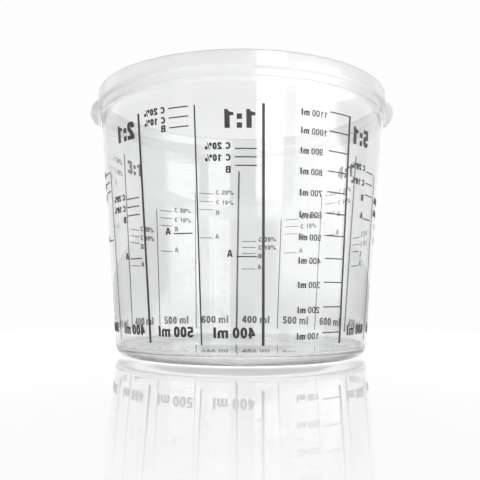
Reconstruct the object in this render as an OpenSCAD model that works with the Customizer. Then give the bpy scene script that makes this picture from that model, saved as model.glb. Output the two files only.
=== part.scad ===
// Clear resin mixing cup with printed mixing scales.
// Millimetres, +Z up. The origin is on the cup's axis, in the plane that it stands on.
// The reader of the photograph's front view stands at -Y; the two lugs lie towards +X and -X.

/* [Cup] */
// Overall height, standing plane to the lip
cup_h = 119.5; // [110:0.5:140]
// Radius of the outer wall, carried down to the standing plane
wall_r0 = 57.2; // [50:0.1:64]
// How much the wall's radius grows for each mm of height
wall_taper = 0.0835; // [0.05:0.0005:0.11]
// Wall thickness, measured level
wall_t = 1.0; // [0.7:0.05:1.8]
// Height of the inside floor above the standing plane
floor_z = 3.5; // [2.5:0.1:6]
// Thickness of the floor
floor_t = 1.3; // [0.8:0.1:2]
// Outside radius of the bottom corner
corner_r = 5; // [3:0.25:7]
// Inside radius of the bottom corner
fillet_r = 2.5; // [1.5:0.25:4]
// Radial width of the ring that the cup stands on
foot_w = 1.6; // [1:0.1:3]

/* [Rim] */
// Outer radius of the rim band, the plain band round the lip
rim_r = 68.1; // [67.6:0.1:70]
// Height of the rim band
rim_h = 6.6; // [4:0.1:9]
// Wall thickness of the rim band
rim_t = 1.3; // [1:0.1:1.8]
// Rounding of the lip's two edges
lip_r = 0.45; // [0.2:0.05:0.6]
// Distance from the lip down to the thin bead
bead_drop = 10; // [8.5:0.1:14]
// How far the thin bead stands out of the wall
bead_out = 0.45; // [0.2:0.05:0.8]

/* [Lugs] */
// Radius of the half-round lugs under the lip
lug_r = 6.7; // [4:0.1:8]
// Distance of a lug's tip from the cup's axis
lug_tip = 71.9; // [70:0.1:76]
// Angle of each lug from the -Y side
lug_az = 84.1; // [80:0.1:90]
// Thickness of a lug, round the cup
lug_t = 4.4; // [2:0.1:8]
// Rounding of a lug's edges
lug_edge = 0.6; // [0.2:0.1:1]

/* [Printed scales] */
// Thickness of the ink
ink_t = 0.1; // [0.05:0.01:0.15]
// Angle from the -Y side to the 1:1 column's bar, positive towards +X
print_az = 7.7; // [-20:0.1:20]
// Angle taken up by one ratio column
column_pitch = 23.24; // [22:0.01:24]
// Lean of the printed bars from the cup's own straight lines, for each mm of height
print_lean = 0.0128; // [0:0.0004:0.02]
// Height where the bars start
bar_z0 = 8.2; // [7.6:0.1:10]
// Height where the tall bars end
bar_z1 = 99.4; // [99.3:0.1:104]
// Width of the bar that starts each ratio's group, and of the millilitre scale's bar
bar_wide = 1.05; // [0.8:0.05:1.6]
// Width of the other bars
bar_thin = 0.55; // [0.4:0.05:0.8]
// Width of a tick mark
tick_w = 0.45; // [0.3:0.05:0.7]
// Angle between a ratio column's bar and the start of its tick marks
tick_gap = 2.3; // [2:0.1:3]
// Angle that a ratio column's tick mark runs through
tick_run = 7.4; // [5:0.1:9]
// Angle that a millilitre tick mark runs through
ml_run = 8.9; // [6:0.1:11]
// Radius, at its foot, of the cone that the marks' heights are laid out for
mark_r0 = 54.5; // [52:0.1:58]
// How much that cone's radius grows for each mm of height
mark_taper = 0.1145; // [0.08:0.0005:0.13]
// Height of that cone's foot
mark_z0 = 2.2; // [1:0.1:4]

/* [Hidden] */
$fn = 180;

CLEAR = [0.90, 0.92, 0.93, 0.45];
INK = [0.16, 0.16, 0.17];

taper_a = atan(wall_taper);
rim_z = cup_h - rim_h;
bead_z = cup_h - bead_drop;

// Radius of the outer wall and of the inner wall at a height
function ro(z) = wall_r0 + wall_taper * z;
function ri(z) = ro(z) - wall_t;

// Points on an arc
function arc(c, r, a0, a1, n) =
    [for (i = [0:n]) let (a = a0 + (a1 - a0) * i / n) [c[0] + r * cos(a), c[1] + r * sin(a)]];

// Height of the mark for v millilitres: a cone's volume, turned round
function z_at(v) =
    (pow(v * 1000 * 3 * mark_taper / PI + pow(mark_r0, 3), 1 / 3) - mark_r0) / mark_taper + mark_z0;

// Lean of the print at a height, in degrees round the cup
function lean(z) = print_lean * (60 - z);

// Start angle of ratio column k, from -Y towards +X
function col_az(k) = print_az - k * column_pitch;

// Amounts in one ratio column, in ml: resin, resin and hardener, then 10 % and 20 % of thinner
function amounts(parts, a) = [a, a + a / parts, a + a / parts + a / 10, a + a / parts + a / 5];

// Outside of the cup from the axis out and up to the lip
corner_c = [wall_r0 + wall_taper * corner_r - corner_r / cos(taper_a), corner_r];
foot_r = corner_c[0] - foot_w;
function outside() = concat(
    [[0, 0.6], [1.2, 0.6], [1.6, floor_z - floor_t - 0.5], [6, floor_z - floor_t - 0.5],
     [6.5, floor_z - floor_t], [foot_r - 0.9, floor_z - floor_t], [foot_r, 0]],
    arc(corner_c, corner_r, -90, -taper_a, 8),
    [[ro(bead_z - 0.7), bead_z - 0.7]],
    arc([ro(bead_z), bead_z], bead_out, -55, 55, 4),
    [[ro(bead_z + 0.7), bead_z + 0.7], [ro(rim_z - 0.1), rim_z - 0.1], [rim_r - 0.25, rim_z],
     [rim_r, rim_z + 0.3]],
    arc([rim_r - lip_r, cup_h - lip_r], lip_r, 0, 90, 4),
    [[0, cup_h]]);

// Space inside the cup, open at the top
fillet_c = [ri(floor_z + fillet_r) - fillet_r / cos(taper_a), floor_z + fillet_r];
rim_ri = rim_r - rim_t;
function inside() = concat(
    [[0, floor_z]],
    arc(fillet_c, fillet_r, -90, -taper_a, 6),
    [[ri(rim_z), rim_z], [rim_ri, rim_z + 1.1], [rim_ri, cup_h - lip_r]],
    arc([rim_ri + lip_r, cup_h - lip_r], lip_r, 180, 90, 4),
    [[rim_ri + lip_r, cup_h + 1], [0, cup_h + 1]]);

// One lug, at +X: a half-round plate that stands radially under the lip, level with it at the top
module lug() {
    cx = lug_tip - lug_r;
    cz = cup_h - lug_r;
    translate([cx, lug_t / 2, cz]) rotate([90, 0, 0]) {
        translate([0, 0, lug_edge]) cylinder(h = lug_t - 2 * lug_edge, r = lug_r);
        cylinder(h = lug_edge, r1 = lug_r - lug_edge, r2 = lug_r);
        translate([0, 0, lug_t - lug_edge]) cylinder(h = lug_edge, r1 = lug_r, r2 = lug_r - lug_edge);
    }
}

// The moulded cup: wall, floor, foot ring, bead, rim band and the two lugs are one piece
module cup_body() {
    color(CLEAR) difference() {
        union() {
            rotate_extrude() polygon(outside());
            rotate([0, 0, lug_az - 90]) lug();
            rotate([0, 0, 270 - lug_az]) lug();
        }
        rotate_extrude() polygon(inside());
    }
}

// A patch of ink on the outer wall: from height za to zb, from angle a towards lower angles
module patch(za, zb, a, run) {
    rotate([0, 0, a - 90 - run]) rotate_extrude(angle = run)
        polygon([[ro(za), za], [ro(za) + ink_t, za], [ro(zb) + ink_t, zb], [ro(zb), zb]]);
}

// A tick mark at the height of v millilitres
module tick(v, az, run) {
    z = z_at(v);
    patch(z - tick_w / 2, z + tick_w / 2, az + lean(z), run);
}

// A bar up the wall, leaning with the print
module bar(az, z1, w) {
    zm = (bar_z0 + z1) / 2;
    a = atan(print_lean * PI / 180 * ro(60));
    intersection() {
        patch(bar_z0, z1, az + 5, 10);
        rotate([0, 0, az + lean(zm) - 90]) translate([0, 0, zm]) rotate([a, 0, 0])
            translate([ro(0) - 5, -w / 2, -60]) cube([30, w, 120]);
    }
}

// One ratio column: its bar and the tick marks of its four amounts
module column(k, parts, a, first) {
    v = amounts(parts, a);
    bar(col_az(k), first ? bar_z1 : z_at(v[3]) + tick_w / 2, first ? bar_wide : bar_thin);
    for (x = v) tick(x, col_az(k) - tick_gap, tick_run);
}

// All the columns of one mixing ratio, parts to one
module ratio_group(parts) {
    batches = parts == 1 ? [400, 500] : [400, 500, 600];
    k0 = parts == 1 ? 0 : 3 * parts - 4;
    color(INK) for (j = [0:len(batches) - 1]) column(k0 + j, parts, batches[j], j == 0);
}

// The plain millilitre scale, every 100 ml up to 1100 ml
module print_volume_scale() {
    color(INK) {
        bar(col_az(14), z_at(1100) + tick_w / 2, bar_wide);
        for (v = [100:100:1100]) tick(v, col_az(14) - 0.65, ml_run);
    }
}

module print_ratio_1_1() { ratio_group(1); }
module print_ratio_2_1() { ratio_group(2); }
module print_ratio_3_1() { ratio_group(3); }
module print_ratio_4_1() { ratio_group(4); }
module print_ratio_5_1() { ratio_group(5); }

cup_body();
print_volume_scale();
print_ratio_1_1();
print_ratio_2_1();
print_ratio_3_1();
print_ratio_4_1();
print_ratio_5_1();
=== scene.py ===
import math

import bmesh
import bpy
import numpy as np
from mathutils import Matrix, Vector
from mathutils.geometry import delaunay_2d_cdt


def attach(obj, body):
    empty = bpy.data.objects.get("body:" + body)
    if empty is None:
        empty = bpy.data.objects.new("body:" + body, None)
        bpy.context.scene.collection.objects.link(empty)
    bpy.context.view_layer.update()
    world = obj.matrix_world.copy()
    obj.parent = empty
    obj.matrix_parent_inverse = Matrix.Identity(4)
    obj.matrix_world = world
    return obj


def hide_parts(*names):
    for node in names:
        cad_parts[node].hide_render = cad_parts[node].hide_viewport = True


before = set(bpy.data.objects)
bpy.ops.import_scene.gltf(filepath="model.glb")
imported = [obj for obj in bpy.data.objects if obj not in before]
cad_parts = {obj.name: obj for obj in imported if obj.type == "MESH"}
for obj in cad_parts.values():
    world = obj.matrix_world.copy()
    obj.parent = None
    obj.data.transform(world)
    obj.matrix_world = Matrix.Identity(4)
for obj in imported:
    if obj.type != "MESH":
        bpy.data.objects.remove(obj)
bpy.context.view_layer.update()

MM = 0.001

# ---------------------------------------------------------------- sizes, as in the CAD source (mm, degrees)
CUP_H, WALL_R0, TAPER, WALL_T = 119.5, 57.2, 0.0835, 1.0
FLOOR_Z, FLOOR_T, CORNER_R, FILLET_R, FOOT_W = 3.5, 1.3, 5.0, 2.5, 1.6
RIM_R, RIM_H, RIM_T, LIP_R, BEAD_DROP, BEAD_OUT = 68.1, 6.6, 1.3, 0.45, 10.0, 0.45
LUG_R, LUG_TIP, LUG_T, LUG_EDGE, LUG_AZ = 6.7, 71.9, 4.4, 0.6, 84.1
PRINT_AZ, PITCH, LEAN = 7.7, 23.24, 0.0128
BAR_Z0, BAR_Z1, BAR_WIDE, BAR_THIN = 8.2, 99.4, 1.05, 0.55
MARK_R0, MARK_TAPER, MARK_Z = 54.5, 0.1145, 2.2
TICK_W, TICK_GAP, TICK_RUN, ML_GAP, ML_RUN = 0.45, 2.3, 7.4, 0.85, 8.9
INK_OUT, INK_IN = 0.085, 0.03          # the ink stands this far out of the wall, and is bonded this far in

RIM_Z = CUP_H - RIM_H
BEAD_Z = CUP_H - BEAD_DROP
TAN_A = math.atan(TAPER)


def ro(z):
    return WALL_R0 + TAPER * z


def ri(z):
    return ro(z) - WALL_T


def z_at(ml):
    return ((ml * 1000 * 3 * MARK_TAPER / math.pi + MARK_R0 ** 3) ** (1 / 3) - MARK_R0) / MARK_TAPER + MARK_Z


def lean(z):
    return LEAN * (60 - z)


def col_az(k):
    return PRINT_AZ - k * PITCH


def on_wall(az, z, out=0.0):
    """A point on the outer wall, in metres. az in degrees from -Y towards +X."""
    a, r = math.radians(az), ro(z) + out
    return (r * math.sin(a) * MM, -r * math.cos(a) * MM, z * MM)


# ---------------------------------------------------------------- camera
F_PX, PSI, PHI, RHO = 605.82, -0.00205, 0.08634, 0.00412
cam_data = bpy.data.cameras.new("camera")
cam = bpy.data.objects.new("camera", cam_data)
bpy.context.scene.collection.objects.link(cam)
cam_data.sensor_fit = "HORIZONTAL"
cam_data.sensor_width = 36
cam_data.lens = F_PX / 480 * 36
cam_data.clip_start, cam_data.clip_end = 0.01, 60
right = Vector((math.cos(PSI), -math.sin(PSI), 0))
ahead = Vector((math.sin(PSI) * math.cos(PHI), math.cos(PSI) * math.cos(PHI), math.sin(PHI)))
up = Vector((-math.sin(PSI) * math.sin(PHI), -math.cos(PSI) * math.sin(PHI), math.cos(PHI)))
rr = right * math.cos(RHO) + up * math.sin(RHO)
uu = up * math.cos(RHO) - right * math.sin(RHO)
m = Matrix.Identity(4)
for i in range(3):
    m[i][0], m[i][1], m[i][2] = rr[i], uu[i], -ahead[i]
m[0][3], m[1][3], m[2][3] = 0.0, -0.28820, 0.02826
cam.matrix_world = m
bpy.context.scene.camera = cam


# ---------------------------------------------------------------- node helpers
def new_material(name):
    mat = bpy.data.materials.new(name)
    mat.use_nodes = True
    nt = mat.node_tree
    nt.nodes.clear()
    out = nt.nodes.new("ShaderNodeOutputMaterial")
    bsdf = nt.nodes.new("ShaderNodeBsdfPrincipled")
    nt.links.new(bsdf.outputs[0], out.inputs["Surface"])
    return mat, nt, bsdf


def add(nt, kind, **sockets):
    n = nt.nodes.new(kind)
    for k, v in sockets.items():
        if k in n.inputs:
            n.inputs[k].default_value = v
        else:
            setattr(n, k, v)
    return n


def obj_from(name, verts, faces):
    me = bpy.data.meshes.new(name)
    me.from_pydata(verts, [], faces)
    me.validate()
    ob = bpy.data.objects.new(name, me)
    bpy.context.scene.collection.objects.link(ob)
    return ob


# ---------------------------------------------------------------- the moulded cup
def arc(c, r, a0, a1, n):
    return [(c[0] + r * math.cos(math.radians(a0 + (a1 - a0) * i / n)),
             c[1] + r * math.sin(math.radians(a0 + (a1 - a0) * i / n))) for i in range(n + 1)]


def rounded(points):
    """A polyline with some corners rounded: each point is (r, z) or (r, z, radius, steps)."""
    out = []
    for i, p in enumerate(points):
        if len(p) == 2:
            out.append((p[0], p[1]))
            continue
        a, b, c = Vector(points[i - 1][:2]), Vector(p[:2]), Vector(points[i + 1][:2])
        d0, d1 = (a - b).normalized(), (c - b).normalized()
        half = d0.angle(d1) / 2
        reach = p[2] / math.tan(half)
        p0, p1 = b + d0 * reach, b + d1 * reach
        for s in range(p[3] + 1):
            t = s / p[3]
            q = p0 * (1 - t) ** 2 + b * 2 * t * (1 - t) + p1 * t ** 2
            out.append((q.x, q.y))
    return out


def profile():
    """The closed section, from the axis under the floor, up outside, over the lip and down inside."""
    A = math.degrees(TAN_A)
    cc = (WALL_R0 + TAPER * CORNER_R - CORNER_R / math.cos(TAN_A), CORNER_R)
    fr = cc[0] - FOOT_W
    zb = FLOOR_Z - FLOOR_T
    under = rounded([(0, 0.6), (1.2, 0.6, 0.25, 4), (1.6, zb - 0.5, 0.2, 3), (6.0, zb - 0.5, 0.2, 3),
                     (6.5, zb, 0.2, 3), (fr - 0.9, zb, 0.5, 5), (fr, 0, 0.3, 4), (cc[0] - 0.5, 0), (cc[0], 0)])
    corner = arc(cc, CORNER_R, -90, -A, 16)[1:]
    out = under + corner
    for z in (16, 32, 48, 64, 80, 92, 102):
        out.append((ro(z), z))
    b0 = ro(BEAD_Z)
    n = 12
    for i in range(n + 1):
        t = i / n
        z = BEAD_Z - 0.75 + 1.5 * t
        out.append((ro(z) + BEAD_OUT * 0.5 * (1 - math.cos(2 * math.pi * t)), z))
    step = rounded([(ro(RIM_Z - 2.4), RIM_Z - 2.4), (ro(RIM_Z - 0.3), RIM_Z - 0.3, 0.5, 5),
                    (RIM_R, RIM_Z + 0.2, 0.5, 5), (RIM_R, RIM_Z + 2.6)])
    out += step
    out += arc((RIM_R - LIP_R, CUP_H - LIP_R), LIP_R, 0, 90, 7)
    inner_r = RIM_R - RIM_T
    out += arc((inner_r + LIP_R, CUP_H - LIP_R), LIP_R, 90, 180, 7)
    out += rounded([(inner_r, CUP_H - LIP_R - 1), (inner_r, RIM_Z + 1.5, 1.0, 6),
                    (ri(RIM_Z - 0.3), RIM_Z - 0.3, 1.0, 6), (ri(RIM_Z - 3), RIM_Z - 3)])
    for z in (102, 92, 80, 64, 48, 32, 16):
        out.append((ri(z), z))
    fc = (ri(FLOOR_Z + FILLET_R) - FILLET_R / math.cos(TAN_A), FLOOR_Z + FILLET_R)
    out += arc(fc, FILLET_R, -A, -90, 12)
    for r in (48, 40, 30, 20, 10, 4):
        out.append((r, FLOOR_Z))
    out.append((0, FLOOR_Z))
    return out


def make_cup(segments=320):
    prof = profile()
    verts, faces = [], []
    rows = []
    for r, z in prof:
        if r < 1e-6:
            rows.append([len(verts)])
            verts.append((0, 0, z * MM))
            continue
        row = []
        for s in range(segments):
            a = 2 * math.pi * (s + 0.5) / segments
            row.append(len(verts))
            verts.append((r * math.cos(a) * MM, r * math.sin(a) * MM, z * MM))
        rows.append(row)
    for a, b in zip(rows, rows[1:]):
        for s in range(segments):
            t = (s + 1) % segments
            if len(a) == 1:
                faces.append((a[0], b[t], b[s]))
            elif len(b) == 1:
                faces.append((a[s], a[t], b[0]))
            else:
                faces.append((a[s], a[t], b[t], b[s]))
    cup = obj_from("cup_shell", verts, faces)
    bm = bmesh.new()
    bm.from_mesh(cup.data)
    bmesh.ops.recalc_face_normals(bm, faces=bm.faces)
    bm.to_mesh(cup.data)
    bm.free()
    return cup


def make_lug(sign):
    """A half-round plate standing radially under the lip: a disc lying in the XZ plane with rounded edges."""
    cx, cz = (LUG_TIP - LUG_R), CUP_H - LUG_R
    inner = RIM_R - RIM_T
    rounds = 6
    prof = []
    for i in range(rounds + 1):
        a = math.pi / 2 * i / rounds
        prof.append((LUG_R - LUG_EDGE + LUG_EDGE * math.sin(a), -LUG_T / 2 + LUG_EDGE - LUG_EDGE * math.cos(a)))
    for i in range(rounds + 1):
        a = math.pi / 2 * i / rounds
        prof.append((LUG_R - LUG_EDGE + LUG_EDGE * math.cos(a), LUG_T / 2 - LUG_EDGE + LUG_EDGE * math.sin(a)))
    seg = 96
    verts, faces = [], []
    for r, y in prof:
        for s in range(seg):
            a = 2 * math.pi * s / seg
            verts.append((sign * (cx + r * math.cos(a)) * MM, y * MM, (cz + r * math.sin(a)) * MM))
    for j in range(len(prof) - 1):
        for s in range(seg):
            t = (s + 1) % seg
            faces.append((j * seg + s, j * seg + t, (j + 1) * seg + t, (j + 1) * seg + s))
    faces.append(tuple(range(seg)))
    faces.append(tuple(range((len(prof) - 1) * seg, len(prof) * seg)))
    ob = obj_from("lug_tmp", verts, faces)
    # the part inside the cup is cut away by a flat plane just outside the rim's inner face, and the opening is filled
    bm = bmesh.new()
    bm.from_mesh(ob.data)
    bmesh.ops.recalc_face_normals(bm, faces=bm.faces)
    cut_x = (inner + 0.55) * MM
    geom = bm.verts[:] + bm.edges[:] + bm.faces[:]
    res = bmesh.ops.bisect_plane(bm, geom=geom, plane_co=(sign * cut_x, 0, 0), plane_no=(sign, 0, 0),
                                 clear_inner=True, clear_outer=False)
    edges = [e for e in bm.edges if e.is_boundary]
    bmesh.ops.edgeloop_fill(bm, edges=edges)
    bmesh.ops.recalc_face_normals(bm, faces=bm.faces)
    bmesh.ops.rotate(bm, verts=bm.verts, cent=(0, 0, 0),
                     matrix=Matrix.Rotation(sign * math.radians(LUG_AZ - 90), 3, "Z"))
    bm.to_mesh(ob.data)
    bm.free()
    return ob


cup = make_cup()
for sign in (1, -1):
    lug = make_lug(sign)
    mod = cup.modifiers.new("lug", "BOOLEAN")
    mod.operation, mod.object, mod.solver = "UNION", lug, "EXACT"
    bpy.context.view_layer.update()
    done = bpy.data.meshes.new_from_object(cup.evaluated_get(bpy.context.evaluated_depsgraph_get()))
    cup.modifiers.clear()
    cup.data = done
    bpy.data.objects.remove(lug)
cup.data.name = "cup_shell"
bm = bmesh.new()
bm.from_mesh(cup.data)
bmesh.ops.remove_doubles(bm, verts=bm.verts, dist=1e-7)
print("cup shell:", len(bm.verts), "points,", len(bm.faces), "faces,",
      sum(1 for e in bm.edges if not e.is_manifold), "open edges")
for f in bm.faces:
    f.smooth = True
for e in bm.edges:
    if e.is_manifold:
        e.smooth = e.calc_face_angle(0) < math.radians(32)
bm.to_mesh(cup.data)
bm.free()


# ---------------------------------------------------------------- lettering: own strokes, cap height 1
def bez(p0, p1, p2, p3, n=8):
    out = []
    for i in range(n + 1):
        t = i / n
        s = 1 - t
        out.append(tuple(s ** 3 * a + 3 * s * s * t * b + 3 * s * t * t * c + t ** 3 * d
                         for a, b, c, d in zip(p0, p1, p2, p3)))
    return out


def oval(cx, cy, rx, ry, a0, a1, n=16, sq=2.25):
    out = []
    for i in range(n + 1):
        a = math.radians(a0 + (a1 - a0) * i / n)
        c, s = math.cos(a), math.sin(a)
        out.append((cx + rx * math.copysign(abs(c) ** (2 / sq), c), cy + ry * math.copysign(abs(s) ** (2 / sq), s)))
    return out


def ribbon(pts, V, H):
    """Quads along a line, drawn with a pen that is V wide on uprights and H on levels."""
    n = len(pts)
    closed = math.dist(pts[0], pts[-1]) < 1e-6
    sides = []
    for i in range(n):
        a = pts[i - 1] if i else (pts[-2] if closed else pts[0])
        b = pts[i + 1] if i < n - 1 else (pts[1] if closed else pts[-1])
        dx, dy = b[0] - a[0], b[1] - a[1]
        l = math.hypot(dx, dy) or 1
        nx, ny = -dy / l * V / 2, dx / l * H / 2
        sides.append(((pts[i][0] + nx, pts[i][1] + ny), (pts[i][0] - nx, pts[i][1] - ny)))
    if closed:
        sides[-1] = sides[0]
    return [[sides[i][0], sides[i + 1][0], sides[i + 1][1], sides[i][1]] for i in range(n - 1)]


def box2(x0, y0, x1, y1):
    return [[(x0, y0), (x1, y0), (x1, y1), (x0, y1)]]


def flip(polys, w):
    return [[(w - x, 1 - y) for x, y in p] for p in polys]


def glyph(ch, V, H):
    """(polygons, left bearing, advance) of a character, cap height 1."""
    w, side, adv = 0.63, 0.042, 0.714
    P = []
    if ch == "0":
        P = ribbon(oval(w / 2, 0.5, (w - V) / 2, (1.01 - H) / 2, 90, 450, 28), V, H)
    elif ch == "1":
        f = 0.20
        P = [[(f, 0), (f + V, 0), (f + V, 1), (f + 0.38 * V, 1), (f + 0.06, 0.90), (f - 0.06, 0.845), (0, 0.83),
              (0, 0.665), (f, 0.665)]]
        w, side = f + V, 0.09
    elif ch == "2":
        P = ribbon(bez((V / 2, 0.66), (V / 2, 0.90), (0.15, 1 - H / 2), (w / 2, 1 - H / 2), 7)
                   + bez((w / 2, 1 - H / 2), (w - 0.13, 1 - H / 2), (w - V / 2, 0.88), (w - V / 2, 0.71), 7)[1:]
                   + bez((w - V / 2, 0.71), (w - V / 2, 0.50), (V * 0.62, 0.40), (V * 0.55, 0.09), 10)[1:], V, H * 1.1)
        P += box2(0.0, 0, w, H * 1.08)
    elif ch == "3":
        P = ribbon(bez((V / 2, 0.73), (V / 2, 0.92), (0.16, 1 - H / 2), (w / 2, 1 - H / 2), 7)
                   + bez((w / 2, 1 - H / 2), (w - 0.15, 1 - H / 2), (w - V / 2 - 0.03, 0.90), (w - V / 2 - 0.03, 0.755), 7)[1:]
                   + bez((w - V / 2 - 0.03, 0.755), (w - V / 2 - 0.03, 0.60), (0.44, 0.54), (0.22, 0.54), 7)[1:], V, H)
        P += ribbon(bez((0.22, 0.53), (0.46, 0.53), (w - V / 2, 0.47), (w - V / 2, 0.285), 7)
                    + bez((w - V / 2, 0.285), (w - V / 2, 0.10), (w - 0.15, H / 2), (w / 2, H / 2), 7)[1:]
                    + bez((w / 2, H / 2), (0.15, H / 2), (V / 2, 0.10), (V / 2, 0.28), 7)[1:], V, H)
    elif ch == "4":
        xs = w - V - 0.07
        P = box2(xs, 0, xs + V, 1) + box2(0, 0.215, w, 0.215 + H)
        P += [[(0, 0.26), (V * 1.1, 0.26), (V * 1.02, 0.36), (xs + V * 0.2, 0.86), (xs + V * 0.2, 1), (xs - 0.02, 1),
               (0, 0.40)]]
    elif ch == "5":
        P = box2(0.07, 1 - H, w - 0.04, 1)
        P += [[(0.02, 0.44), (0.02 + V * 0.9, 0.47), (0.07 + V * 0.8, 1), (0.07, 1)]]
        P += ribbon(oval(w / 2, 0.325, (w - V) / 2, 0.325 - H / 2, 148, -90, 18)
                    + oval(w / 2, 0.325, (w - V) / 2, 0.325 - H / 2, -90, -168, 6)[1:], V, H)
    elif ch in "69":
        P = ribbon(oval(w / 2, 0.325, (w - V) / 2, 0.325 - H / 2, 90, 450, 24), V, H)
        P += ribbon(bez((w - V / 2 - 0.01, 0.74), (w - V / 2 - 0.02, 0.90), (w - 0.17, 1 - H / 2), (w / 2 + 0.01, 1 - H / 2), 7)
                    + bez((w / 2 + 0.01, 1 - H / 2), (0.13, 1 - H / 2), (V / 2, 0.80), (V / 2, 0.36), 9)[1:], V, H)
        if ch == "9":
            P = flip(P, w)
    elif ch == "7":
        P = box2(0, 1 - H, w, 1)
        P += ribbon(bez((w - V * 0.52, 1 - H * 0.6), (w * 0.60, 0.66), (w * 0.42, 0.36), (w * 0.38, 0), 9), V * 1.04, H)
    elif ch == "8":
        P = ribbon(oval(w / 2, 0.755, (w - V) / 2 - 0.025, 0.25 - H / 2, 90, 450, 22), V, H)
        P += ribbon(oval(w / 2, 0.285, (w - V) / 2, 0.29 - H / 2, 90, 450, 24), V, H)
    elif ch == "A":
        w, side, adv = 0.84, 0.02, 0.90
        t = V * 1.15
        L = [(0, 0), (V * 1.02, 0), (w / 2, 0.79), (w / 2, 1), (w / 2 - t / 2, 1)]
        P = [L, [(w - x, y) for x, y in reversed(L)]] + box2(0.17, 0.20, w - 0.17, 0.20 + H)
    elif ch == "B":
        w, side, adv = 0.74, 0.06, 0.90
        r = w - V / 2
        P = box2(0, 0, V, 1)
        P += ribbon([(V / 2, 1 - H / 2), (w * 0.3, 1 - H / 2), (w * 0.5, 1 - H / 2)]
                    + bez((w * 0.5, 1 - H / 2), (w * 0.78, 1 - H / 2), (r - 0.03, 0.88), (r - 0.03, 0.755), 6)[1:]
                    + bez((r - 0.03, 0.755), (r - 0.03, 0.62), (w * 0.74, 0.535), (w * 0.5, 0.535), 6)[1:]
                    + [(V / 2, 0.535)], V, H)
        P += ribbon([(V / 2, 0.535), (w * 0.5, 0.535)]
                    + bez((w * 0.5, 0.535), (w * 0.8, 0.535), (r, 0.44), (r, 0.28), 6)[1:]
                    + bez((r, 0.28), (r, 0.13), (w * 0.78, H / 2), (w * 0.5, H / 2), 6)[1:]
                    + [(V / 2, H / 2)], V, H)
    elif ch == "C":
        w, side, adv = 0.76, 0.04, 0.90
        P = ribbon(oval(w / 2, 0.5, (w - V) / 2, (1.01 - H) / 2, 33, 327, 26, 2.1), V, H)
    elif ch == "%":
        w, side, adv = 1.06, 0.03, 1.12
        v, h = V * 0.80, H * 0.80
        P = ribbon(oval(0.21, 0.745, 0.21 - v / 2, 0.255 - h / 2, 90, 450, 18), v, h)
        P += ribbon(oval(w - 0.21, 0.255, 0.21 - v / 2, 0.255 - h / 2, 90, 450, 18), v, h)
        P += [[(w * 0.30, -0.01), (w * 0.30 + 0.125, -0.01), (w * 0.70, 1.01), (w * 0.70 - 0.125, 1.01)]]
    elif ch == "m":
        w, side, adv = 0.98, 0.05, 1.10
        v, x = V * 0.95, 0.73
        mid = (w - v) / 2
        P = box2(0, 0, v, x)
        for xl, xr in ((0, mid), (mid, w - v)):
            P += ribbon(oval((xl + xr + v) / 2, 0.46, (xr - xl) / 2, x + 0.01 - H / 2 - 0.46, 180, 0, 12, 2.4), v, H)
            P += box2(xr, 0, xr + v, 0.47)
    elif ch == "l":
        w, side, adv = V, 0.07, V + 0.14
        P = box2(0, 0, V, 1)
    elif ch == ":":
        w, side, adv = V, 0.09, V + 0.17
        P = box2(0, 0, V, V) + box2(0, 0.755 - V, V, 0.755)
    elif ch == " ":
        return [], 0, 0.33
    else:
        raise ValueError(ch)
    return [[(x + side, y) for x, y in p] for p in P], side, adv


_cut = {}


def covers(poly, q):
    """Whether a polygon holds the point q."""
    inside = False
    for a, b in zip(poly, poly[1:] + poly[:1]):
        if (a[1] > q.y) != (b[1] > q.y) and q.x < a[0] + (q.y - a[1]) * (b[0] - a[0]) / (b[1] - a[1]):
            inside = not inside
    return inside


def filled(ch, V, H, step):
    """The character as triangles: (points, triangles, outline edges), with long edges broken up so that it can bend."""
    key = (ch, V, H, step)
    if key in _cut:
        return _cut[key]
    polys, side, adv = glyph(ch, V, H)
    pts, index, faces = [], {}, []
    for p in polys:
        area = sum(a[0] * b[1] - b[0] * a[1] for a, b in zip(p, p[1:] + p[:1]))
        if abs(area) < 1e-7:
            continue
        if area < 0:
            p = p[::-1]
        f = []
        for a, b in zip(p, p[1:] + p[:1]):
            n = max(1, math.ceil(math.dist(a, b) / step))
            for i in range(n):
                q = (a[0] + (b[0] - a[0]) * i / n, a[1] + (b[1] - a[1]) * i / n)
                k = (round(q[0], 5), round(q[1], 5))
                if k not in index:
                    index[k] = len(pts)
                    pts.append(Vector(q))
                if not f or f[-1] != index[k]:
                    f.append(index[k])
        if len(set(f)) > 2:
            faces.append(f)
    v, e, tri, ov, oe, of_ = delaunay_2d_cdt(pts, [], faces, 0, 1e-5, True)
    keep = []
    for t in tri:
        a, b, c = (v[i] for i in t[:3])
        if abs((b - a).cross(c - a)) < 1e-10 or not any(covers(p, (a + b + c) / 3) for p in polys):
            continue
        keep.append(tuple(t) if (b - a).cross(c - a) > 0 else tuple(reversed(t)))
    used = sorted({i for t in keep for i in t})
    new = {o: n for n, o in enumerate(used)}
    keep = [tuple(new[i] for i in t) for t in keep]
    pos = [(v[i].x, v[i].y) for i in used]
    count = {}
    for t in keep:
        for a, b in zip(t, t[1:] + t[:1]):
            count[(a, b)] = 1
    rim = [(a, b) for a, b in count if (b, a) not in count]
    _cut[key] = (pos, keep, rim, side, adv)
    return _cut[key]


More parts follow.
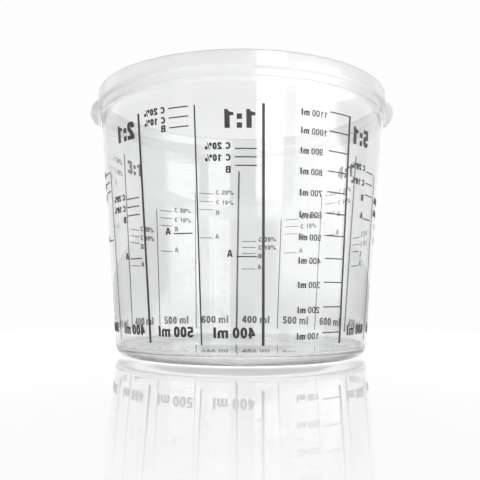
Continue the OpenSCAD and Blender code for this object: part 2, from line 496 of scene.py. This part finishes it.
class Ink:
    """Collects thin closed patches of ink on the outer wall."""

    def __init__(self, name):
        self.name, self.verts, self.faces = name, [], []

    def sheet(self, pos, tris, rim):
        """pos are (azimuth, height) pairs, tris turn anticlockwise with azimuth falling to the right."""
        base = len(self.verts)
        n = len(pos)
        for az, z in pos:
            self.verts.append(on_wall(az, z, INK_OUT))
        for az, z in pos:
            self.verts.append(on_wall(az, z, -INK_IN))
        for t in tris:
            self.faces.append(tuple(base + i for i in reversed(t)))
            self.faces.append(tuple(base + n + i for i in t))
        for a, b in rim:
            self.faces.append((base + a, base + b, base + n + b, base + n + a))

    def grid(self, rows):
        """rows of (azimuth, height), each from low to high reading direction."""
        cols = len(rows[0])
        pos = [p for row in rows for p in row]
        tris, rim = [], []
        for j in range(len(rows) - 1):
            for i in range(cols - 1):
                a, b = j * cols + i, j * cols + i + 1
                c, d = b + cols, a + cols
                tris.append((a, b, c, d))
        last = (len(rows) - 1) * cols
        for i in range(cols - 1):
            rim += [(i, i + 1), (last + i + 1, last + i)]
        for j in range(len(rows) - 1):
            rim += [(j * cols + cols - 1, (j + 1) * cols + cols - 1), ((j + 1) * cols, j * cols)]
        self.sheet(pos, tris, rim)

    def bar(self, az, z1, w):
        n = max(2, round((z1 - BAR_Z0) / 8))
        rows = []
        for j in range(n + 1):
            z = BAR_Z0 + (z1 - BAR_Z0) * j / n
            half = math.degrees(w / 2 / ro(z))
            rows.append([(az + lean(z) + half * (1 - 2 * i / 3), z) for i in range(4)])
        self.grid(rows)

    def tick(self, ml, az, run):
        z = z_at(ml)
        n = 8
        self.grid([[(az + lean(z) - run * i / n, zz) for i in range(n + 1)]
                   for zz in (z - TICK_W / 2, z + TICK_W / 2)])

    def text(self, s, az, z, cap, V, H, run=None, align="start", tight=1.0, unit=1.0, wide=1.0):
        """s starts (or is centred, or ends) at azimuth az, centred on height z; run is its length in degrees.
        The pen is unit times as wide for the letters m and l; wide stretches the text along the wall."""
        step = min(0.34, max(0.12, 0.9 / cap))
        width, first = 0.0, None
        for ch in s:
            k = unit if ch in "ml" else 1.0
            pos, tris, rim, side, adv = filled(ch, V * k, H * k, step) if ch != " " else ([], [], [], 0, 0.33)
            if first is None:
                first = side
            width += adv * tight
            last = adv * tight - (max(p[0] for p in pos) if pos else 0)
        width -= first + last
        deg = math.degrees(cap / ro(z))
        stretch = run / (width * deg) if run else wide
        total = width * deg * stretch
        start = {"start": az, "centre": az + total / 2, "end": az + total}[align]
        pen = -first
        for ch in s:
            if ch == " ":
                pen += 0.33 * tight
                continue
            k = unit if ch in "ml" else 1.0
            pos, tris, rim, side, adv = filled(ch, V * k, H * k, step)
            placed = []
            for x, y in pos:
                zz = z + (y - 0.5) * cap
                placed.append((start - (pen + x) * deg * stretch + lean(zz) - lean(z), zz))
            self.sheet(placed, tris, rim)
            pen += adv * tight

    def build(self, material):
        ob = obj_from(self.name, self.verts, self.faces)
        ob.data.materials.append(material)
        return ob


# ---------------------------------------------------------------- materials
# clear moulded plastic: glossy, faintly hazy, with soft flow waves left by the mould
clear, nt, b = new_material("clear_polypropylene")
b.inputs["Base Color"].default_value = (0.872, 0.878, 0.881, 1)
b.inputs["Transmission Weight"].default_value = 0.97
b.inputs["IOR"].default_value = 1.49
b.inputs["Roughness"].default_value = 0.05
tc = add(nt, "ShaderNodeTexCoord")
mapping = add(nt, "ShaderNodeMapping")
mapping.inputs["Scale"].default_value = (1, 1, 0.35)
nt.links.new(tc.outputs["Object"], mapping.inputs["Vector"])
waves = add(nt, "ShaderNodeTexNoise", Scale=38.0, Detail=2.0, Roughness=0.45)
nt.links.new(mapping.outputs[0], waves.inputs["Vector"])
fine = add(nt, "ShaderNodeTexNoise", Scale=900.0, Detail=3.0, Roughness=0.6)
nt.links.new(tc.outputs["Object"], fine.inputs["Vector"])
rough = add(nt, "ShaderNodeMapRange")
rough.inputs["To Min"].default_value, rough.inputs["To Max"].default_value = 0.006, 0.022
nt.links.new(fine.outputs["Fac"], rough.inputs["Value"])
# the lugs, outside the rim's radius, are moulded matt
flat = add(nt, "ShaderNodeVectorMath", operation="MULTIPLY")
flat.inputs[1].default_value = (1, 1, 0)
nt.links.new(tc.outputs["Object"], flat.inputs[0])
far = add(nt, "ShaderNodeVectorMath", operation="LENGTH")
nt.links.new(flat.outputs[0], far.inputs[0])
matt = add(nt, "ShaderNodeMapRange")
matt.inputs["From Min"].default_value, matt.inputs["From Max"].default_value = 0.06815, 0.0685
matt.inputs["To Min"].default_value, matt.inputs["To Max"].default_value = 0.0, 0.55
nt.links.new(far.outputs["Value"], matt.inputs["Value"])
level = add(nt, "ShaderNodeSeparateXYZ")
nt.links.new(tc.outputs["Object"], level.inputs[0])
hazy = add(nt, "ShaderNodeMapRange", interpolation_type="SMOOTHSTEP")      # the rim band is a little hazy
hazy.inputs["From Min"].default_value, hazy.inputs["From Max"].default_value = 0.1066, 0.1088
hazy.inputs["To Min"].default_value, hazy.inputs["To Max"].default_value = 0.0, 0.37
nt.links.new(level.outputs["Z"], hazy.inputs["Value"])
shine = add(nt, "ShaderNodeMapRange", interpolation_type="SMOOTHSTEP")     # but its skin is as glossy as the wall
shine.inputs["From Min"].default_value, shine.inputs["From Max"].default_value = 0.1066, 0.1088
nt.links.new(level.outputs["Z"], shine.inputs["Value"])
nt.links.new(shine.outputs[0], b.inputs["Coat Weight"])
b.inputs["Coat Roughness"].default_value = 0.012
b.inputs["Coat IOR"].default_value = 1.49
worn = add(nt, "ShaderNodeMapRange", interpolation_type="SMOOTHSTEP")      # so is the corner at the bottom
worn.inputs["From Min"].default_value, worn.inputs["From Max"].default_value = 0.0024, 0.0033
worn.inputs["To Min"].default_value, worn.inputs["To Max"].default_value = 0.12, 0.0
nt.links.new(level.outputs["Z"], worn.inputs["Value"])
last = rough.outputs[0]
for part in (matt, hazy, worn):
    both = add(nt, "ShaderNodeMath", operation="ADD")
    nt.links.new(last, both.inputs[0])
    nt.links.new(part.outputs[0], both.inputs[1])
    last = both.outputs[0]
nt.links.new(last, b.inputs["Roughness"])
painted_shade_tint = add(nt, "ShaderNodeMix", data_type="RGBA")                          # painted shade: the lugs and the top of the lip get a greyer, darker base colour
lug_shade_mask = add(nt, "ShaderNodeMapRange")
lug_shade_mask.inputs["From Min"].default_value, lug_shade_mask.inputs["From Max"].default_value = 0.06815, 0.0685
nt.links.new(far.outputs["Value"], lug_shade_mask.inputs["Value"])
lip = add(nt, "ShaderNodeMapRange")
lip.inputs["From Min"].default_value, lip.inputs["From Max"].default_value = 0.1183, 0.1189
nt.links.new(level.outputs["Z"], lip.inputs["Value"])
painted_shade_mask = add(nt, "ShaderNodeMath", operation="MAXIMUM")
nt.links.new(lug_shade_mask.outputs[0], painted_shade_mask.inputs[0])
nt.links.new(lip.outputs[0], painted_shade_mask.inputs[1])
nt.links.new(painted_shade_mask.outputs[0], painted_shade_tint.inputs["Factor"])
for s_in in painted_shade_tint.inputs:
    if s_in.type == "RGBA":
        s_in.default_value = (0.872, 0.878, 0.881, 1) if s_in.name == "A" else (0.78, 0.787, 0.79, 1)
nt.links.new([o for o in painted_shade_tint.outputs if o.type == "RGBA"][0], b.inputs["Base Color"])
calm = add(nt, "ShaderNodeMapRange", interpolation_type="SMOOTHSTEP")      # the floor is moulded flatter
calm.inputs["From Min"].default_value, calm.inputs["From Max"].default_value = 0.004, 0.016
nt.links.new(level.outputs["Z"], calm.inputs["Value"])
swell = add(nt, "ShaderNodeMath", operation="MULTIPLY")
nt.links.new(waves.outputs["Fac"], swell.inputs[0])
nt.links.new(calm.outputs[0], swell.inputs[1])
bump = add(nt, "ShaderNodeBump", Strength=1.0, Distance=0.000009)
nt.links.new(swell.outputs[0], bump.inputs["Height"])
bump2 = add(nt, "ShaderNodeBump", Strength=1.0, Distance=0.0000001)
nt.links.new(fine.outputs["Fac"], bump2.inputs["Height"])
nt.links.new(bump.outputs[0], bump2.inputs["Normal"])
nt.links.new(bump2.outputs[0], b.inputs["Normal"])

# screen-printed ink: dark grey, satin, a little uneven in density
ink_mat, nt, b = new_material("printed_ink")
tc = add(nt, "ShaderNodeTexCoord")
blot = add(nt, "ShaderNodeTexNoise", Scale=260.0, Detail=4.0, Roughness=0.6)
nt.links.new(tc.outputs["Object"], blot.inputs["Vector"])
ramp = add(nt, "ShaderNodeValToRGB")
ramp.color_ramp.elements[0].position, ramp.color_ramp.elements[0].color = 0.3, (0.012, 0.012, 0.013, 1)
ramp.color_ramp.elements[1].position, ramp.color_ramp.elements[1].color = 0.75, (0.032, 0.032, 0.034, 1)
nt.links.new(blot.outputs["Fac"], ramp.inputs["Fac"])
nt.links.new(ramp.outputs["Color"], b.inputs["Base Color"])
b.inputs["Roughness"].default_value = 0.5
grain = add(nt, "ShaderNodeTexNoise", Scale=3000.0, Detail=2.0, Roughness=0.5)
nt.links.new(tc.outputs["Object"], grain.inputs["Vector"])
bump = add(nt, "ShaderNodeBump", Strength=0.25, Distance=0.00003)
nt.links.new(grain.outputs["Fac"], bump.inputs["Height"])
nt.links.new(bump.outputs[0], b.inputs["Normal"])

cup.data.materials.clear()
cup.data.materials.append(clear)
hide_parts("cup_body")
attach(cup, "root")

# ---------------------------------------------------------------- the print
SMALL_V, SMALL_H = 0.262, 0.208        # pen of the small labels
HEAD_V, HEAD_H = 0.285, 0.225          # pen of the headings
SCALE_V, SCALE_H = 0.168, 0.142        # pen of the millilitre scale
END = TICK_GAP + TICK_RUN

vol = Ink("ink_volume_scale")
vol.bar(col_az(14), z_at(1100) + TICK_W / 2, BAR_WIDE)
for ml in range(100, 1101, 100):
    vol.tick(ml, col_az(14) - ML_GAP + 0.2, ML_RUN + 0.2)
    z = z_at(ml) - (1.6 if ml == 1100 else 1.15)
    vol.text(f"{ml} ml", 21.0 + lean(z), z, 2.5, SCALE_V, SCALE_H, align="end", tight=1.035, unit=1.5)

groups = [("ink_ratio_1_1", 1, [0, 1]), ("ink_ratio_2_1", 2, [2, 3, 4]), ("ink_ratio_3_1", 3, [5, 6, 7]),
          ("ink_ratio_4_1", 4, [8, 9, 10]), ("ink_ratio_5_1", 5, [11, 12, 13])]
inks = [(vol, "print_volume_scale")]
for name, parts, columns in groups:
    ink = Ink(name)
    for j, k in enumerate(columns):
        a = 400 + 100 * j
        amounts = [("A", a), ("B", a + a / parts), ("C 10%", a + a / parts + a / 10), ("C 20%", a + a / parts + a / 5)]
        az = col_az(k)
        ink.bar(az, BAR_Z1 if j == 0 else z_at(amounts[3][1]) + TICK_W / 2, BAR_WIDE if j == 0 else BAR_THIN)
        shift = {"A": 1.15, "B": -1.5, "C 10%": -0.2, "C 20%": 1.1}
        if k == 1:
            shift = {"A": 1.15, "B": 0.0, "C 10%": -0.5, "C 20%": -0.3}
        for label, v in amounts:
            ink.tick(v, az - TICK_GAP, TICK_RUN)
            z = z_at(v) + shift[label]
            ink.text(label, az - END - (1.2 if label == "A" else 1.5) + lean(z), z, 2.65, SMALL_V, SMALL_H,
                     wide=1.0 if k == 0 else 1.06)
        ink.text(f"{a} ml", az - 3.05 + lean(13), 13.05, 4.1, 0.246, 0.196)
    heading = f"{parts}:1"
    z = 93.55 - {4: 0.8, 5: 1.2}.get(parts, 0.0)
    if parts <= 3:
        ink.text(heading, col_az(columns[0]) - 2.7 + lean(z), z, 7.1, HEAD_V, HEAD_H)
    else:
        ink.text(heading, col_az(columns[-1] + 1) + 2.7 + lean(z), z, 7.1, HEAD_V, HEAD_H, align="end")
    inks.append((ink, name.replace("ink_", "print_")))
for ink, node in inks:
    ob = ink.build(ink_mat)
    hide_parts(node)
    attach(ob, "root")

# ---------------------------------------------------------------- floor, light and world
def value(nt, op, a, b=None):
    """A Math node; a and b are sockets or numbers."""
    n = add(nt, "ShaderNodeMath", operation=op)
    for i, v in enumerate((a, b)):
        if v is None:
            continue
        if isinstance(v, (int, float)):
            n.inputs[i].default_value = v
        else:
            nt.links.new(v, n.inputs[i])
    return n.outputs[0]


def rise(nt, x, lo, hi, a=0.0, b=1.0):
    """Goes smoothly from a to b while x goes from lo to hi."""
    n = add(nt, "ShaderNodeMapRange", interpolation_type="SMOOTHSTEP")
    n.inputs["From Min"].default_value, n.inputs["From Max"].default_value = lo, hi
    n.inputs["To Min"].default_value, n.inputs["To Max"].default_value = a, b
    nt.links.new(x, n.inputs["Value"])
    return n.outputs[0]


def between(nt, x, lo, hi, soft):
    """One between lo and hi, zero outside, with soft ends."""
    return value(nt, "MULTIPLY", rise(nt, x, lo - soft, lo + soft), rise(nt, x, hi - soft, hi + soft, 1.0, 0.0))


def bearing(nt, vector, y0=0.0):
    """Degrees from -Y towards +X, seen from (0, y0)."""
    sep = add(nt, "ShaderNodeSeparateXYZ")
    nt.links.new(vector, sep.inputs[0])
    front = value(nt, "SUBTRACT", y0, sep.outputs["Y"])
    return value(nt, "MULTIPLY", value(nt, "ARCTAN2", sep.outputs["X"], front), 180 / math.pi)


def unseen(nt):
    """Zero where the floor or the studio itself is looked at, one where it lights or shows in the cup."""
    return value(nt, "SUBTRACT", 1.0, add(nt, "ShaderNodeLightPath").outputs["Is Camera Ray"])


def total(nt, *terms):
    """The sum of strength x socket, plus any plain number."""
    out = None
    for t in terms:
        t = t if isinstance(t, (int, float)) else value(nt, "MULTIPLY", t[1], t[0])
        out = t if out is None else value(nt, "ADD", out, t)
    return out


floor_mat, nt, b = new_material("floor_white")
b.inputs["Base Color"].default_value = (0.30, 0.30, 0.30, 1)
b.inputs["IOR"].default_value = 2.1
b.inputs["Emission Color"].default_value = (1, 1, 1, 1)
tc = add(nt, "ShaderNodeTexCoord")
fl = add(nt, "ShaderNodeTexNoise", Scale=6.0, Detail=2.0)
nt.links.new(tc.outputs["Object"], fl.inputs["Vector"])
fr_ = add(nt, "ShaderNodeMapRange")
fr_.inputs["To Min"].default_value, fr_.inputs["To Max"].default_value = 0.004, 0.012
nt.links.new(fl.outputs["Fac"], fr_.inputs["Value"])
nt.links.new(fr_.outputs[0], b.inputs["Roughness"])
# away from the cup the floor turns into an even glow that runs into the bright background; where it shows in the cup,
# that glow carries painted pools of light and shade, with painted window light on the floor in front
dist = add(nt, "ShaderNodeVectorMath", operation="LENGTH")
nt.links.new(tc.outputs["Object"], dist.inputs[0])
fade = rise(nt, dist.outputs["Value"], 0.09, 0.250)
# painted light: the floor glows at 0.66 right around and under the cup, so light comes up into the base, and at an even
# 0.345 further out
nt.links.new(rise(nt, dist.outputs["Value"], 0.050, 0.062, 0.66, 0.345), b.inputs["Emission Strength"])
lit = rise(nt, dist.outputs["Value"], 0.15, 0.25)
az = bearing(nt, tc.outputs["Object"], -0.040)
glow = add(nt, "ShaderNodeEmission", Color=(1, 1, 1, 1))
# painted light and shade in the floor's glow, by bearing from the cup: brighter pools, darker pools, and painted window
# light in front and far off; camera rays don't see them
painted_light_and_shade_pools = total(nt, (0.60, between(nt, az, -48, 92, 12)), (0.55, between(nt, az, -62, -16, 6)),
              (-0.38, between(nt, az, -150, -72, 18)), (-0.40, between(nt, az, 106, 158, 14)))
painted_window_light = value(nt, "MULTIPLY", rise(nt, dist.outputs["Value"], 0.10, 0.42),
               total(nt, (2.35, between(nt, az, 31, 98, 8)), (-0.6, rise(nt, az, 60, 80))))
painted_far_window_light = value(nt, "MULTIPLY", rise(nt, dist.outputs["Value"], 0.9, 1.8), between(nt, az, 13, 31, 4))
light = total(nt, (1.0, value(nt, "MULTIPLY", lit, painted_light_and_shade_pools)), (1.0, value(nt, "MAXIMUM", painted_window_light, 0.0)), (2.2, painted_far_window_light))
nt.links.new(total(nt, 0.985, (1.0, value(nt, "MULTIPLY", light, unseen(nt)))), glow.inputs["Strength"])
mixed = add(nt, "ShaderNodeMixShader")
nt.links.new(fade, mixed.inputs[0])
nt.links.new(b.outputs[0], mixed.inputs[1])
nt.links.new(glow.outputs[0], mixed.inputs[2])
nt.links.new(mixed.outputs[0], [n for n in nt.nodes if n.type == "OUTPUT_MATERIAL"][0].inputs["Surface"])
R = 6.0
floor = obj_from("floor", [(-R, -R, -0.0001), (R, -R, -0.0001), (R, R, -0.0001), (-R, R, -0.0001)], [(0, 1, 2, 3)])
floor.data.materials.append(floor_mat)


def area(name, loc, target, sx, sy, watts, spread=180):
    li = bpy.data.lights.new(name, "AREA")
    li.shape, li.size, li.size_y, li.energy = "RECTANGLE", sx, sy, watts
    li.spread = math.radians(spread)
    ob = bpy.data.objects.new(name, li)
    bpy.context.scene.collection.objects.link(ob)
    ob.location = loc
    ob.rotation_euler = (Vector(target) - Vector(loc)).to_track_quat("-Z", "Y").to_euler()
    ob.visible_camera = ob.visible_glossy = False
    return ob


def radiant(area_m2, radiance):
    """Watts of an area light that looks that bright."""
    return radiance * math.pi * area_m2


area("soft_box_top", (0.0, 0.25, 1.3), (0, 0, 0), 1.2, 1.0, radiant(1.2, 1.3))

# the studio: a white backdrop behind, a dim room in front, and two tall windows on the right with soft edges
world = bpy.data.worlds.new("studio")
bpy.context.scene.world = world
world.use_nodes = True
nt = world.node_tree
nt.nodes.clear()
wo = nt.nodes.new("ShaderNodeOutputWorld")
bg = nt.nodes.new("ShaderNodeBackground")
nt.links.new(bg.outputs[0], wo.inputs["Surface"])
tc = nt.nodes.new("ShaderNodeTexCoord")
az = bearing(nt, tc.outputs["Generated"])
sep = nt.nodes.new("ShaderNodeSeparateXYZ")
nt.links.new(tc.outputs["Generated"], sep.inputs[0])
rad = value(nt, "ARCSINE", sep.outputs["Z"])
el = value(nt, "MULTIPLY", rad, 180 / math.pi)
side = value(nt, "ABSOLUTE", az)
backdrop = rise(nt, side, 100, 128)
room = value(nt, "MULTIPLY", value(nt, "SUBTRACT", 1.0, backdrop), rise(nt, az, -76, -60, 0.75, 1.0))
wall = value(nt, "ADD", rise(nt, el, 4, 11, 1.05, 0.30), rise(nt, el, 26, 50, 0.0, 0.30))
sill = rise(nt, el, -7, -1)
first = value(nt, "MULTIPLY", rise(nt, el, 31, 37, 1.0, 0.0), between(nt, az, 11.2, 32.5, 1.2))
reach = value(nt, "ADD", az, rise(nt, el, 5, 9, 0.0, 20.0))        # the second window is narrower further up
second = value(nt, "MULTIPLY", rise(nt, el, 20.8, 22.0, 1.0, 0.0), value(
    nt, "MULTIPLY", rise(nt, az, 40.8, 43.2), rise(nt, reach, 90, 102, 1.0, 0.0)))
post = value(nt, "MULTIPLY", between(nt, az, 32.5, 42.0, 1.2), total(
    nt, (1.0, rise(nt, el, 3, 6, 1.9, 1.3)), (-0.9, rise(nt, el, 12, 15))))
sides = value(nt, "MULTIPLY", sill, between(nt, az, -120, -66, 8))
cards = value(nt, "MULTIPLY", rise(nt, el, 12, 17), total(
    nt, (0.48, between(nt, az, 78, 120, 8)), (0.52, between(nt, az, -130, -74, 8))))
lamp = value(nt, "MULTIPLY", rise(nt, el, 4, 8), value(
    nt, "MULTIPLY", rise(nt, az, -60, -46), rise(nt, az, -38, -37, 1.0, 0.0)))
light = total(nt, (3.9, value(nt, "MULTIPLY", sill, first)),
              (4.2, value(nt, "MULTIPLY", value(nt, "MULTIPLY", sill, second), rise(nt, el, 6, 14, 0.72, 1.0))),
              (1.0, value(nt, "MULTIPLY", sill, post)), (0.30, sides), (1.0, cards), (0.35, lamp), (0.985, backdrop),
              (1.0, value(nt, "MULTIPLY", room, wall)))
bg.inputs["Color"].default_value = (1, 1, 1, 1)
# looked at directly, the studio is the plain white backdrop all round
nt.links.new(total(nt, 0.985, (1.0, value(nt, "MULTIPLY", value(nt, "SUBTRACT", light, 0.985), unseen(nt)))),
             bg.inputs["Strength"])

sc = bpy.context.scene
sc.view_settings.view_transform = "Standard"
sc.view_settings.look = "None"
sc.view_settings.exposure = 0
sc.view_settings.gamma = 1
sc.cycles.use_denoising = True
sc.cycles.max_bounces = 96
sc.cycles.transmission_bounces = 48
sc.cycles.glossy_bounces = 80
sc.cycles.diffuse_bounces = 4
sc.cycles.transparent_max_bounces = 16
sc.cycles.blur_glossy = 0.3

bpy.context.view_layer.update()
